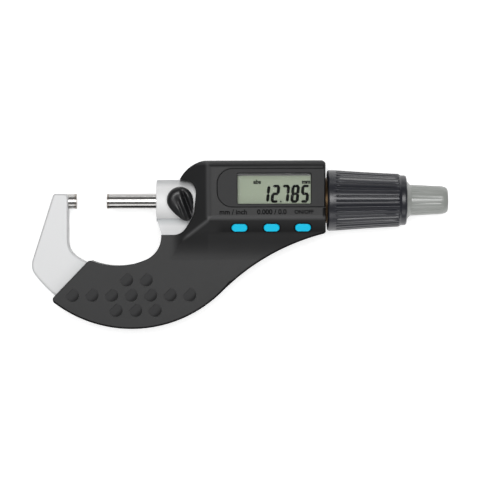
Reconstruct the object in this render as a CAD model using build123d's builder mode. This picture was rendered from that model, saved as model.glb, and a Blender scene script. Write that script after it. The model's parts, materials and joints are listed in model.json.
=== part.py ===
"""Digital outside micrometer, 0 to 30 mm, lying on its back.

The origin is the centre of the anvil's measuring face. X runs along the spindle axis, away from
the anvil, Y runs up the display and Z points out of the display face.
"""

from build123d import *
import os
from math import cos, radians, sin, sqrt

os.makedirs("parts", exist_ok=True)

# Measuring
opening = 12.785
measuring_range = 30.0
travel_opening = measuring_range - opening
spindle_d = 6.5
spindle_r = spindle_d / 2
running_gap = 0.03

# Bow
bow_thickness = 9.0
bow_half = bow_thickness / 2
arm_top = 3.2
arm_inner_x = -3.5
arm_outer_x = -9.75
heel = (-19.75, -28.1)
heel_r = 7.0
bow_edge_r = 0.9
hub_start = 33.9
hub_end = 54.5
hub_r = 8.95
rail_bottom = -13.2
rail_top = -8.8
rail_end = 98.0
rear_boss_start = 90.0
rear_boss_end = 104.1
rear_boss_r = 8.0

# Housing
grip_centre = (23.5, 0.0)
grip_r = 54.1
throat_centre = (17.34, 3.06)
throat_r = 30.4
throat_lip = 1.2
skirt = 2.5
swoop_r = 93.3
swoop_angle = -45.2
casing_top = 17.05
casing_right = 105.6
shoulder_x = 57.1
shoulder_r = 14.9
window_top = 8.95
window_bottom = -14.4
grip_z = 7.2
face_z = 12.3
back_z = -13.4
wall = 1.8
slope_left_foot = 41.7
slope_left_top = 56.35
slope_low_foot = -18.6
slope_low_top = -7.4

# Display and buttons
lcd_x = (68.2, 99.05)
lcd_y = (-1.42, 11.35)
panel_left = 59.6
panel_y = (-2.9, 13.4)
panel_corner_r = 6.5
board_bottom = 4.8
board_top = 5.6
button_length = 6.6
button_width = 3.2
button_y = -11.55
button_x = {"left": 69.0, "middle": 82.5, "right": 95.7}

# Thimble and knob
thimble_start = 106.2
thimble_end = 139.7
thimble_rim_r = 12.95
rib_start = 109.7
rib_start_r = 12.85
rib_mid_r = 11.93
rib_end = 136.5
rib_end_r = 11.22
rib_count = 38
core_r = 10.3
knob_start = 138.75
knob_end = 157.0

# Other centres
lever_x = 44.0
battery_centre = (66.8, -1.5)
encoder_x = 79.6
cover_screw_places = [(60.0, 12.6), (101.0, 12.6), (84.0, -17.0), (40.0, -38.0), (4.0, -37.0)]


def on_circle(centre, radius, angle):
    """The point of a circle at an angle in degrees."""
    return (centre[0] + radius * cos(radians(angle)), centre[1] + radius * sin(radians(angle)))


def tangent_at(angle):
    """The counter-clockwise direction of a circle at an angle in degrees."""
    return (-sin(radians(angle)), cos(radians(angle)))


def ring(start, end, outer_r, inner_r):
    """A plain ring round the spindle axis."""
    with BuildPart() as made:
        with BuildSketch(Plane.YZ.offset(start)):
            Circle(outer_r)
            Circle(inner_r, mode=Mode.SUBTRACT)
        extrude(amount=end - start)
    return made.part


def save(part, name):
    """Labels a finished piece and writes it."""
    part.label = name
    export_step(part, f"parts/{name}.step")


# Outline of the housing, seen from the front
swoop_distance = grip_r + swoop_r
swoop_centre = on_circle(grip_centre, swoop_distance, swoop_angle)
swoop_start = on_circle(grip_centre, grip_r, swoop_angle)
swoop_end = (
    casing_right,
    swoop_centre[1] + sqrt(swoop_r**2 - (casing_right - swoop_centre[0]) ** 2),
)
shoulder_centre = (shoulder_x, casing_top - shoulder_r)
shoulder_foot = (
    shoulder_centre[0] - sqrt(shoulder_r**2 - (window_top - shoulder_centre[1]) ** 2),
    window_top,
)
window_upper_corner = (51.2, window_top)
window_side_corner = (49.85, -6.1)
window_lower_corner = (44.5, window_bottom)
window_foot = (35.9, window_bottom)
throat_turn_angle = -66.4
grip_corner_angle = -129.4
throat_corner_angle = -113.0


def housing_outline(inset):
    """The housing's outline, moved inwards by the inset."""
    throat_turn = on_circle(throat_centre, throat_r, throat_turn_angle)
    throat_corner = on_circle(throat_centre, throat_r, throat_corner_angle)
    throat_low = on_circle(throat_centre, throat_r, -90)
    grip_corner = on_circle(grip_centre, grip_r, grip_corner_angle)
    grip_low = on_circle(grip_centre, grip_r, -90)
    shoulder_mid = on_circle(shoulder_centre, shoulder_r, 125)
    with BuildSketch() as outline:
        with BuildLine():
            ThreePointArc((shoulder_centre[0], casing_top), shoulder_mid, shoulder_foot)
            Line(shoulder_foot, window_upper_corner)
            Polyline(window_upper_corner, window_side_corner, window_lower_corner, window_foot)
            TangentArc(throat_turn, window_foot, tangent=tangent_at(throat_turn_angle))
            ThreePointArc(throat_turn, throat_low, throat_corner)
            Line(throat_corner, grip_corner)
            ThreePointArc(grip_corner, grip_low, swoop_start)
            TangentArc(swoop_start, swoop_end, tangent=tangent_at(swoop_angle))
            Line(swoop_end, (casing_right, casing_top))
            Line((casing_right, casing_top), (shoulder_centre[0], casing_top))
        make_face()
        corners = [
            (window_upper_corner, 5.8),
            (window_side_corner, 10.0),
            (window_lower_corner, 6.0),
            (throat_corner, 1.5),
            (grip_corner, 1.8),
            (swoop_end, 1.8),
            ((casing_right, casing_top), 3.0),
        ]
        for corner, radius in corners:
            fillet(outline.vertices().sort_by_distance(corner)[0], radius)
        if inset:
            offset(amount=-inset, kind=Kind.INTERSECTION)
    return outline.sketch


def height_profile(plane, points, roundings, inset):
    """A closed profile on a plane. The outside has some corners rounded, the inside none."""
    with BuildSketch(plane) as profile:
        with BuildLine():
            Polyline(*points, close=True)
        make_face()
        if not inset:
            for corner, radius in roundings:
                fillet(profile.vertices().sort_by_distance(corner)[0], radius)
    return profile.sketch


# The grip is level. The display block rises from it in two slopes that meet in a mitred ridge, so
# each half of the housing is its outline cut by one height profile along Y and one along X.
reach = 70.0
top_draft = 0.3
side_draft = 0.4
side_rounding = 1.5


def front_form(inset):
    """The front half's body, moved inwards by the inset."""
    grip = grip_z - inset
    face = face_z - inset
    top = casing_top - inset
    side = casing_right - inset
    along_y = height_profile(
        Plane.YZ.offset(-reach / 2),
        [(-reach, 0), (-reach, grip), (slope_low_foot, grip), (slope_low_top, face),
         (top - top_draft, face), (top, 0)],
        [((slope_low_foot, grip), 30.0), ((slope_low_top, face), 3.5),
         ((top - top_draft, face), 3.2)],
        inset,
    )
    along_x = height_profile(
        Plane.XZ.offset(-reach),
        [(-reach, 0), (-reach, grip), (slope_left_foot, grip), (slope_left_top, face),
         (side - side_draft, face), (side, 0)],
        [((slope_left_foot, grip), 14.0), ((slope_left_top, face), 9.0),
         ((side - side_draft, face), side_rounding)],
        inset,
    )
    with BuildPart() as form:
        extrude(along_y, amount=3 * reach, dir=(1, 0, 0))
        extrude(along_x, amount=2 * reach, dir=(0, -1, 0), mode=Mode.INTERSECT)
        extrude(housing_outline(inset), amount=face_z + 1, mode=Mode.INTERSECT)
    return form.part


def rear_form(inset):
    """The rear half's body: flat where it rests, hollowed away towards the grip's end."""
    back = back_z + inset
    top = casing_top - inset
    side = casing_right - inset
    along_y = height_profile(
        Plane.YZ.offset(-reach / 2),
        [(-reach, 0), (-reach, back + 8), (-32, back), (top - 1.2, back), (top, 0)],
        [((-32, back), 30.0), ((top - 1.2, back), 3.2)],
        inset,
    )
    along_x = height_profile(
        Plane.XZ.offset(-reach),
        [(-reach, 0), (-reach, back + 8), (-14, back + 5), (27, back), (side - 0.8, back),
         (side, 0)],
        [((27, back), 60.0)],
        inset,
    )
    with BuildPart() as form:
        extrude(along_y, amount=3 * reach, dir=(1, 0, 0))
        extrude(along_x, amount=2 * reach, dir=(0, -1, 0), mode=Mode.INTERSECT)
        extrude(housing_outline(inset), amount=back_z - 1, mode=Mode.INTERSECT)
    return form.part


# Frame: bow, hub, rail and rear boss are one forging
bow_r = grip_r - skirt
frame_throat_r = throat_r + throat_lip
bow_end_angle = -52.0
bow_end = on_circle(grip_centre, bow_r, bow_end_angle)
bow_low = on_circle(grip_centre, bow_r, -90)
frame_throat_turn = on_circle(throat_centre, frame_throat_r, throat_turn_angle)
frame_throat_low = on_circle(throat_centre, frame_throat_r, -90)
throat_meets_arm = (
    arm_inner_x,
    throat_centre[1] - sqrt(frame_throat_r**2 - (arm_inner_x - throat_centre[0]) ** 2),
)
right_arm_low = (36.0, window_bottom)
lip_seat = (right_arm_low[0] + 1.4, window_bottom)
web_x = 64.5

with BuildSketch() as bow_outline:
    with BuildLine():
        Line((arm_inner_x, arm_top), (arm_outer_x, arm_top))
        Line((arm_outer_x, arm_top), heel)
        ThreePointArc(heel, bow_low, bow_end)
        Polyline(
            bow_end,
            (web_x, -26.0),
            (web_x, rail_bottom),
            (rail_end, rail_bottom),
            (rail_end, rail_top),
            (hub_end, rail_top),
            (hub_end, 0),
            (hub_start, 0),
            (hub_start, -3.3),
        )
        ThreePointArc((hub_start, -3.3), (34.5, -9.2), right_arm_low)
        Line(right_arm_low, lip_seat)
        TangentArc(frame_throat_turn, lip_seat, tangent=tangent_at(throat_turn_angle))
        ThreePointArc(frame_throat_turn, frame_throat_low, throat_meets_arm)
        Line(throat_meets_arm, (arm_inner_x, arm_top))
    make_face()
    fillet(bow_outline.vertices().sort_by_distance(heel)[0], heel_r)
    fillet(bow_outline.vertices().sort_by_distance(throat_meets_arm)[0], 8.0)
    fillet(bow_outline.vertices().sort_by_distance((arm_outer_x, arm_top))[0], 1.2)
    fillet(bow_outline.vertices().sort_by_distance((arm_inner_x, arm_top))[0], 1.6)

anvil_bore_end = -8.6
seal_start = 34.6
bush_start = 36.8
bush_r = 5.0
seal_r = 4.6
nut_shank_r = 5.5
lock_boss_r = 5.2
lock_boss_top = 9.3
lock_thread_r = 3.0
lock_thread_bottom = 5.2
screw_boss_r = 2.6
boss_clearance = 0.35

with BuildPart() as frame:
    with BuildSketch(Plane.XY.offset(-bow_half)):
        add(bow_outline.sketch)
    extrude(amount=bow_thickness)
    visible_rim = (
        frame.edges()
        .filter_by(lambda e: abs(abs(e.center().Z) - bow_half) < 0.01)
        .filter_by(lambda e: e.center().X < 30 or e.length > 60)
    )
    fillet(visible_rim, bow_edge_r)
    with BuildSketch(Plane.YZ.offset(hub_start)):
        Circle(hub_r)
    extrude(amount=hub_end - hub_start)
    hub_rim = frame.edges().filter_by(GeomType.CIRCLE).filter_by(
        lambda e: abs(e.radius - hub_r) < 0.01 and abs(e.center().X - hub_start) < 0.01
    )
    chamfer(hub_rim, 0.3)
    with BuildSketch(Plane.XY.offset(0)):
        with Locations((lever_x, 0)):
            Circle(lock_boss_r)
    extrude(amount=lock_boss_top)
    with BuildSketch(Plane.YZ.offset(rear_boss_start)):
        Circle(rear_boss_r)
    extrude(amount=rear_boss_end - rear_boss_start)
    with BuildSketch(Plane.XY.offset(-bow_half + 0.5)):
        with Locations(((rear_boss_start + rail_end) / 2, rail_bottom / 2)):
            Rectangle(rail_end - rear_boss_start, -rail_bottom)
    extrude(amount=bow_thickness - 1)
    with BuildSketch(Plane.YZ.offset(anvil_bore_end)):
        Circle(spindle_r)
    extrude(amount=-anvil_bore_end, mode=Mode.SUBTRACT)
    with BuildSketch(Plane.YZ.offset(hub_start - 1)):
        Circle(spindle_r + 0.15)
    extrude(amount=hub_end, mode=Mode.SUBTRACT)
    with BuildSketch(Plane.YZ.offset(seal_start)):
        Circle(seal_r)
    extrude(amount=bush_start - seal_start, mode=Mode.SUBTRACT)
    with BuildSketch(Plane.YZ.offset(bush_start)):
        Circle(bush_r)
    extrude(amount=hub_end - bush_start, mode=Mode.SUBTRACT)
    with BuildSketch(Plane.YZ.offset(rear_boss_start)):
        Circle(nut_shank_r)
    extrude(amount=rear_boss_end - rear_boss_start, mode=Mode.SUBTRACT)
    with BuildSketch(Plane.XY.offset(0)):
        with Locations((lever_x, 0)):
            Circle(lock_thread_r)
    extrude(amount=lock_boss_top, mode=Mode.SUBTRACT)
    with BuildSketch(Plane.XY.offset(-bow_half)):
        with Locations(*cover_screw_places[3:]):
            Circle(screw_boss_r + boss_clearance)
    extrude(amount=bow_thickness, mode=Mode.SUBTRACT)

# Anvil, pressed into the arm, with its carbide face
tip_thickness = 1.0

with BuildPart() as anvil:
    with BuildSketch(Plane.YZ.offset(anvil_bore_end)):
        Circle(spindle_r)
    extrude(amount=-anvil_bore_end - tip_thickness)

with BuildPart() as anvil_tip:
    with BuildSketch(Plane.YZ.offset(-tip_thickness)):
        Circle(spindle_r)
    extrude(amount=tip_thickness)
    chamfer(anvil_tip.faces().sort_by(Axis.X)[-1].edges(), 0.12)

# Spindle, turned in one piece, with a key groove along its rear
guide_end = 68.0
thread_r = 2.95
spindle_end = 138.0
rotor_hub_start = encoder_x - 2.8
groove_start = rotor_hub_start - travel_opening - 0.7
groove_width = 1.5
groove_floor = 1.9

with BuildPart() as spindle:
    with BuildSketch(Plane.YZ.offset(opening + tip_thickness)):
        Circle(spindle_r)
    extrude(amount=guide_end - opening - tip_thickness)
    with BuildSketch(Plane.YZ.offset(guide_end)):
        Circle(thread_r)
    extrude(amount=spindle_end - guide_end)
    chamfer(spindle.faces().sort_by(Axis.X)[-1].edges(), 0.5)
    with BuildSketch(Plane.XY.offset(groove_floor)):
        with Locations(((groove_start + spindle_end) / 2, 0)):
            Rectangle(spindle_end - groove_start, groove_width)
    extrude(amount=spindle_r, mode=Mode.SUBTRACT)

with BuildPart() as spindle_tip:
    with BuildSketch(Plane.YZ.offset(opening)):
        Circle(spindle_r)
    extrude(amount=tip_thickness)
    chamfer(spindle_tip.faces().sort_by(Axis.X)[0].edges(), 0.12)

# Guide bush, with a window for the clamping plug, and the wiper in front of it
pad_r = 1.5

with BuildPart() as spindle_bush:
    with BuildSketch(Plane.YZ.offset(bush_start)):
        Circle(bush_r)
        Circle(spindle_r + running_gap, mode=Mode.SUBTRACT)
    extrude(amount=hub_end - bush_start)
    with BuildSketch(Plane.XY.offset(0)):
        with Locations((lever_x, 0)):
            Circle(pad_r + 0.05)
    extrude(amount=bush_r + 1, mode=Mode.SUBTRACT)

spindle_seal = ring(seal_start, bush_start, seal_r, spindle_r + running_gap)

with BuildPart() as clamp_pad:
    with BuildSketch(Plane.XY.offset(spindle_r + 0.08)):
        with Locations((lever_x, 0)):
            Circle(pad_r)
    extrude(amount=lock_thread_bottom - spindle_r - 0.08)

# Lock: clamp screw with a square head, and the lever on it. Seen from the front the lever is an
# egg of four arcs, and two grooves leave a thumb rib along its top.
lever_bottom = 9.95
lever_top = 13.3
lever_lobe = (lever_x, 0.3)
lever_lobe_r = 5.5
lever_tail = (lever_x + 2.7, -6.35)
lever_tail_r = 2.3
lever_side_r = 20.0
lever_edge_r = 2.1
square_half = 1.6
thumb_groove_r = 1.3
thumb_groove_lean = 10.0
thumb_groove_places = [(-1.0, -0.9), (-2.4, 2.1)]

with BuildPart() as lock_shaft:
    with BuildSketch(Plane.XY.offset(lock_thread_bottom)):
        with Locations((lever_x, 0)):
            Circle(lock_thread_r - running_gap)
    extrude(amount=lever_bottom - 0.5 - lock_thread_bottom)
    with BuildSketch(Plane.XY.offset(lever_bottom - 0.5)):
        with Locations((lever_x, 0)):
            Rectangle(2 * square_half, 2 * square_half)
    extrude(amount=2.3)

lobe = Vector(*lever_lobe)
tail = Vector(*lever_tail)
lever_along = (tail - lobe).normalized()
lever_across = Vector(-lever_along.Y, lever_along.X)
lobe_to_tail = (tail - lobe).length
side_to_lobe = lever_side_r - lever_lobe_r
side_to_tail = lever_side_r - lever_tail_r
side_along = (side_to_lobe**2 - side_to_tail**2 + lobe_to_tail**2) / (2 * lobe_to_tail)
side_across = sqrt(side_to_lobe**2 - side_along**2)


def lever_side(hand):
    """Start, middle and end of one flank of the lever, an arc that runs on from both ends."""
    centre = lobe + lever_along * side_along - lever_across * hand * side_across
    start = lobe + (lobe - centre).normalized() * lever_lobe_r
    end = tail + (tail - centre).normalized() * lever_tail_r
    middle = centre + ((start + end) / 2 - centre).normalized() * lever_side_r
    return start, middle, end


with BuildPart() as lock_lever:
    with BuildSketch(Plane.XY.offset(lever_bottom)) as lever_plan:
        with BuildLine():
            right_start, right_middle, right_end = lever_side(1)
            left_start, left_middle, left_end = lever_side(-1)
            ThreePointArc(right_start, right_middle, right_end)
            ThreePointArc(right_end, tail + lever_along * lever_tail_r, left_end)
            ThreePointArc(left_end, left_middle, left_start)
            ThreePointArc(left_start, lobe - lever_along * lever_lobe_r, right_start)
        make_face()
    extrude(amount=lever_top - lever_bottom)
    fillet(lock_lever.faces().sort_by(Axis.Z)[-1].edges(), lever_edge_r)
    fillet(lock_lever.faces().sort_by(Axis.Z)[0].edges(), 0.3)
    for start, aside in thumb_groove_places:
        groove_foot = lobe + lever_along * start + lever_across * aside
        groove_path = Plane(
            origin=(groove_foot.X, groove_foot.Y, lever_top + thumb_groove_r),
            x_dir=(lever_across.X, lever_across.Y, 0),
            z_dir=(lever_along.X, lever_along.Y, -sin(radians(thumb_groove_lean))),
        )
        with BuildSketch(groove_path):
            Circle(thumb_groove_r)
        extrude(amount=3 * lobe_to_tail, both=True, mode=Mode.SUBTRACT)
    with BuildSketch(Plane.XY.offset(lever_bottom)):
        with Locations((lever_x, 0)):
            Rectangle(2 * square_half, 2 * square_half)
    extrude(amount=1.8, mode=Mode.SUBTRACT)

# Nut: a flanged brass sleeve. Its shank sits in the rear boss, the thimble turns on its body and
# the slit, tapered end is squeezed by the adjusting ring.
nut_flange_r = 9.6
nut_flange_end = 106.9
bearing_r = 7.0
bearing_end = 115.2
taper_end = 119.2
taper_r = 5.2
taper_tip_r = 4.8
clip_start = 114.05
clip_end = 114.85
clip_groove_r = 6.3
clip_outer_r = 8.2
clip_mouth = 2.4
clip_play = 0.05
slit_width = 0.6

with BuildPart() as spindle_nut:
    with BuildSketch(Plane.XY) as nut_section:
        with BuildLine():
            Polyline(
                (rear_boss_start, thread_r + 0.05),
                (rear_boss_start, nut_shank_r),
                (rear_boss_end, nut_shank_r),
                (rear_boss_end, nut_flange_r),
                (nut_flange_end, nut_flange_r),
                (nut_flange_end, bearing_r),
                (clip_start, bearing_r),
                (clip_start, clip_groove_r),
                (clip_end, clip_groove_r),
                (clip_end, bearing_r),
                (bearing_end, bearing_r),
                (bearing_end, taper_r),
                (taper_end, taper_tip_r),
                (taper_end, thread_r + 0.05),
                close=True,
            )
        make_face()
    revolve(axis=Axis.X)
    for turn in range(3):
        slit_plane = Plane(
            origin=(bearing_end, 0, 0), x_dir=(1, 0, 0), z_dir=(0, -1, 0)
        ).rotated((120 * turn, 0, 0))
        with BuildSketch(slit_plane):
            with Locations((2.2, 4.5)):
                Rectangle(6.0, 6.0)
        extrude(amount=slit_width / 2, both=True, mode=Mode.SUBTRACT)

adjuster_start = bearing_end + 0.4
adjuster_end = 118.6
pin_hole_ring_r = 6.2
pin_hole_r = 0.5
pin_hole_depth = 1.2
taper_slope = (taper_r - taper_tip_r) / (taper_end - bearing_end)

with BuildPart() as adjusting_ring:
    with BuildSketch(Plane.XY):
        with BuildLine():
            Polyline(
                (adjuster_start, taper_r - taper_slope * (adjuster_start - bearing_end)),
                (adjuster_start, bearing_r),
                (adjuster_end, bearing_r),
                (adjuster_end, taper_r - taper_slope * (adjuster_end - bearing_end)),
                close=True,
            )
        make_face()
    revolve(axis=Axis.X)
    with BuildSketch(Plane.YZ.offset(adjuster_end)):
        with PolarLocations(pin_hole_ring_r, 4):
            Circle(pin_hole_r)
    extrude(amount=-pin_hole_depth, mode=Mode.SUBTRACT)

with BuildPart() as retaining_ring:
    with BuildSketch(Plane.YZ.offset(clip_start + clip_play)):
        Circle(clip_outer_r)
        Circle(clip_groove_r, mode=Mode.SUBTRACT)
        with Locations((clip_outer_r, 0)):
            Rectangle(2 * (clip_outer_r - clip_groove_r) + 1, clip_mouth, mode=Mode.SUBTRACT)
    extrude(amount=clip_end - clip_start - 2 * clip_play)

# Thimble: a ribbed sleeve over a metal tube
core_bore_r = 8.6
core_start = nut_flange_end + 0.2
core_end = 138.0
web_end = clip_start - 0.1
thimble_mouth_r = 11.0
collar_r = 10.5

with BuildPart() as thimble:
    with BuildSketch(Plane.XY):
        with BuildLine():
            Line((thimble_start, thimble_mouth_r), (thimble_start, thimble_rim_r - 0.9))
            ThreePointArc(
                (thimble_start, thimble_rim_r - 0.9),
                (thimble_start + 0.25, thimble_rim_r - 0.25),
                (thimble_start + 0.9, thimble_rim_r),
            )
            Line((thimble_start + 0.9, thimble_rim_r), (rib_start, rib_start_r))
            ThreePointArc(
                (rib_start, rib_start_r),
                ((rib_start + rib_end) / 2, rib_mid_r),
                (rib_end, rib_end_r),
            )
            Polyline(
                (rib_end, rib_end_r),
                (rib_end + 0.8, rib_end_r - 0.3),
                (rib_end + 1.8, collar_r + 0.15),
                (thimble_end - 0.4, collar_r),
                (thimble_end, collar_r - 0.4),
                (thimble_end, core_bore_r),
                (core_end, core_bore_r),
                (core_end, core_r),
                (core_start, core_r),
                (core_start, thimble_mouth_r),
                (thimble_start, thimble_mouth_r),
            )
        make_face()
    revolve(axis=Axis.X)
    groove_r = 0.85
    groove_lift = 0.35
    groove_fall = (rib_end_r - rib_start_r) / (rib_end - rib_start)
    for number in range(rib_count):
        groove_plane = Plane(
            origin=(rib_start, 0, rib_start_r + groove_lift),
            x_dir=(0, 1, 0),
            z_dir=(1, 0, groove_fall),
        )
        around = Plane(
            Location((0, 0, 0), (1, 0, 0), 360 / rib_count * number) * groove_plane.location
        )
        with BuildSketch(around):
            Circle(groove_r)
        extrude(amount=rib_end - rib_start, mode=Mode.SUBTRACT)

with BuildPart() as thimble_core:
    with BuildSketch(Plane.YZ.offset(core_start)):
        Circle(core_r)
        Circle(bearing_r + running_gap, mode=Mode.SUBTRACT)
    extrude(amount=web_end - core_start)
    with BuildSketch(Plane.YZ.offset(web_end)):
        Circle(core_r)
        Circle(core_bore_r, mode=Mode.SUBTRACT)
    extrude(amount=core_end - web_end)

# Drive bush: a keyed ring in the tube that turns the spindle and lets it slide
drive_start = 120.5
drive_end = 125.5
key_width = groove_width - 0.12
key_floor = groove_floor + 0.1

with BuildPart() as drive_bush:
    with BuildSketch(Plane.YZ.offset(drive_start)):
        Circle(core_bore_r)
        Circle(thread_r + 0.12, mode=Mode.SUBTRACT)
        with Locations((0, (key_floor + core_bore_r - 1) / 2)):
            Rectangle(key_width, core_bore_r - 1 - key_floor)
    extrude(amount=drive_end - drive_start)

# Friction drive of the knob
stub_r = 3.95
stub_bore_r = 3.2
stub_start = 133.5
stub_end = 154.6
spring_seat_x = 144.0
knob_bore_r = stub_r + 0.05
spring_room_r = 4.95
retainer_start = 152.8
retainer_r = 4.8
washer_r = 7.6

with BuildPart() as ratchet_stub:
    with BuildSketch(Plane.YZ.offset(stub_start)):
        Circle(core_bore_r)
    extrude(amount=core_end - stub_start)
    with BuildSketch(Plane.YZ.offset(core_end)):
        Circle(stub_r)
    extrude(amount=stub_end - core_end)
    with BuildSketch(Plane.YZ.offset(stub_start)):
        Circle(stub_bore_r)
    extrude(amount=stub_end - stub_start, mode=Mode.SUBTRACT)

clutch_washer = ring(core_end, knob_start - 0.05, washer_r, stub_r)
knob_retainer = ring(retainer_start, stub_end - 0.4, retainer_r, stub_r)

knob_flange_r = 8.3
knob_cone_start = 140.0
knob_cone_end = 141.5
knob_body_r = 6.55
knob_tip_r = 5.95
knob_tip_x = 154.4
knob_flute_count = 24
flute_r = 1.4
flute_depth = 0.13

with BuildPart() as ratchet_knob:
    with BuildSketch(Plane.XY):
        with BuildLine():
            Polyline(
                (knob_start, knob_bore_r),
                (knob_start, knob_flange_r),
                (knob_cone_start, knob_flange_r),
                (knob_cone_end, knob_body_r),
                (knob_tip_x, knob_tip_r),
            )
            ThreePointArc(
                (knob_tip_x, knob_tip_r),
                (knob_end - 0.9, knob_tip_r - 0.3),
                (knob_end, spring_room_r + 0.2),
            )
            Polyline(
                (knob_end, spring_room_r + 0.2),
                (knob_end, spring_room_r),
                (spring_seat_x, spring_room_r),
                (spring_seat_x, knob_bore_r),
                (knob_start, knob_bore_r),
            )
        make_face()
    revolve(axis=Axis.X)
    knob_fall = (knob_tip_r - knob_body_r) / (knob_tip_x - knob_cone_end)
    for number in range(knob_flute_count):
        flute_plane = Plane(
            origin=(knob_cone_end + 0.4, 0, knob_body_r + flute_r - flute_depth),
            x_dir=(0, 1, 0),
            z_dir=(1, 0, knob_fall),
        )
        around = Plane(
            Location((0, 0, 0), (1, 0, 0), 360 / knob_flute_count * number)
            * flute_plane.location
        )
        with BuildSketch(around):
            Circle(flute_r)
        extrude(amount=knob_tip_x - knob_cone_end - 0.6, mode=Mode.SUBTRACT)

knob_cap_start = 155.9
knob_cap_end = 157.3

with BuildPart() as knob_cap:
    with BuildSketch(Plane.YZ.offset(knob_cap_start)):
        Circle(spring_room_r)
    extrude(amount=knob_cap_end - knob_cap_start)
    fillet(knob_cap.faces().sort_by(Axis.X)[-1].edges(), 0.4)

spring_wire_r = 0.3
spring_r = 4.45
spring_start = spring_seat_x + spring_wire_r + 0.02
spring_length = retainer_start - spring_seat_x - 2 * spring_wire_r - 0.04
spring_turns = 4

with BuildPart() as clutch_spring:
    with BuildLine():
        coil = Helix(
            pitch=spring_length / spring_turns,
            height=spring_length,
            radius=spring_r,
            center=(spring_start, 0, 0),
            direction=(1, 0, 0),
        )
    with BuildSketch(Plane(origin=coil @ 0, z_dir=coil % 0)):
        RegularPolygon(spring_wire_r, 6)
    sweep(is_frenet=True)

# Encoder: a disc on a keyed hub, facing a fixed disc on its bracket
rotor_hub_r = 4.45
rotor_bore_r = spindle_r + 0.07
encoder_r = 8.0
stator_end = encoder_x + 1.2
rotor_start = stator_end + 0.5
rotor_end = rotor_start + 1.2
bracket_start = encoder_x - 1.0
bracket_half = 4.6
foot_thickness = 1.0
foot_length = 7.0
foot_width = 8.0
foot_hole_r = 0.85
hub_flange_r = 6.0
hub_flange_thickness = 2.0
foot_screw_x = bracket_start - 3.6
foot_screw_z = 2.2
foot_screw_r = 0.8
foot_screw_head_r = 1.5
foot_screw_head = 0.9

with BuildPart() as encoder_stator:
    with BuildSketch(Plane.YZ.offset(encoder_x)):
        Circle(encoder_r)
        Circle(rotor_hub_r + 0.35, mode=Mode.SUBTRACT)
    extrude(amount=stator_end - encoder_x)

with BuildPart() as stator_bracket:
    with BuildSketch(Plane.YZ.offset(bracket_start)):
        with Locations((-0.4, 0)):
            Rectangle(2 * encoder_r + 0.8, 2 * bracket_half)
        Circle(rotor_hub_r + running_gap, mode=Mode.SUBTRACT)
    extrude(amount=encoder_x - bracket_start)
    with BuildSketch(Plane.XZ.offset(-rail_top)):
        with Locations((encoder_x - foot_length / 2, 0)):
            Rectangle(foot_length, foot_width)
        with Locations((foot_screw_x, -foot_screw_z), (foot_screw_x, foot_screw_z)):
            Circle(foot_hole_r, mode=Mode.SUBTRACT)
    extrude(amount=-foot_thickness)

encoder_rotor = ring(rotor_start, rotor_end, encoder_r - 0.2, rotor_hub_r)
hub_clip = ring(bracket_start - 1.4, bracket_start - 0.2, hub_flange_r, rotor_hub_r)

with BuildPart() as rotor_hub:
    with BuildSketch(Plane.YZ.offset(rotor_hub_start)):
        Circle(rotor_hub_r)
        Circle(rotor_bore_r, mode=Mode.SUBTRACT)
        with Locations((0, (key_floor + rotor_hub_r - 0.4) / 2)):
            Rectangle(key_width, rotor_hub_r - 0.4 - key_floor)
    extrude(amount=rotor_end + hub_flange_thickness - rotor_hub_start)
    with BuildSketch(Plane.YZ.offset(rotor_end)):
        Circle(hub_flange_r)
        Circle(rotor_hub_r, mode=Mode.SUBTRACT)
    extrude(amount=hub_flange_thickness)

with BuildPart() as bracket_screws:
    with BuildSketch(Plane.XZ.offset(-rail_top - foot_thickness)):
        with Locations((foot_screw_x, -foot_screw_z), (foot_screw_x, foot_screw_z)):
            Circle(foot_screw_head_r)
    extrude(amount=-foot_screw_head)
    with BuildSketch(Plane.XZ.offset(-rail_top - foot_thickness)):
        with Locations((foot_screw_x, -foot_screw_z), (foot_screw_x, foot_screw_z)):
            Circle(foot_screw_r)
    extrude(amount=foot_thickness)

# Housing, front half
face_slope = (face_z - grip_z) / (slope_low_top - slope_low_foot)
roof_z = face_z - wall
part_gap = 0.05
tunnel_r = hub_r + part_gap
right_hole_r = nut_flange_r + 0.2
screw_shank_r = 1.0
screw_hole_depth = 4.4
outer_boss_top = 8.3
ledge_z = 11.2
bezel_top = 12.05
bezel_gap = 0.3
glass_margin = 0.8
button_gap = 0.15
scoop_r = 2.75
scoop_depth = 0.85
scoop_pitch = 8.25
scoop_row = 6.43
scoop_shear = 1.86
scoop_first = (-1.7, -39.7)
scoop_rows = [(-1, range(3, 5)), (0, range(7)), (1, range(2, 5))]
rim_r = 0.3
throat_rim_point = (throat_centre[0], throat_centre[1] - throat_r, grip_z)


def nearest_edge(part, point):
    """The edge whose centre is nearest to a point."""
    return part.edges().sort_by(lambda e: (e.center() - Vector(*point)).length)[0]


def cut_for_frame(direction):
    """The room the bow takes in one half of the housing."""
    with BuildPart() as room:
        with BuildSketch(Plane.XY):
            add(bow_outline.sketch)
            offset(amount=part_gap, kind=Kind.INTERSECTION)
        extrude(amount=direction * (bow_half + part_gap))
        with BuildSketch(Plane.YZ.offset(hub_start - 4)):
            Circle(tunnel_r)
        extrude(amount=hub_end + 1 - hub_start + 4)
        with BuildSketch(Plane.YZ.offset(rear_boss_end - 1)):
            Circle(right_hole_r)
        extrude(amount=5)
    return room.part


# The display panel runs out over the casing's right edge, whose rounding it follows
panel_right = casing_right + 2

with BuildSketch() as bezel_outline:
    with Locations(((panel_left + panel_right) / 2, (panel_y[0] + panel_y[1]) / 2)):
        Rectangle(panel_right - panel_left, panel_y[1] - panel_y[0])
    fillet(bezel_outline.vertices().sort_by(Axis.X)[:2], panel_corner_r)

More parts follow.
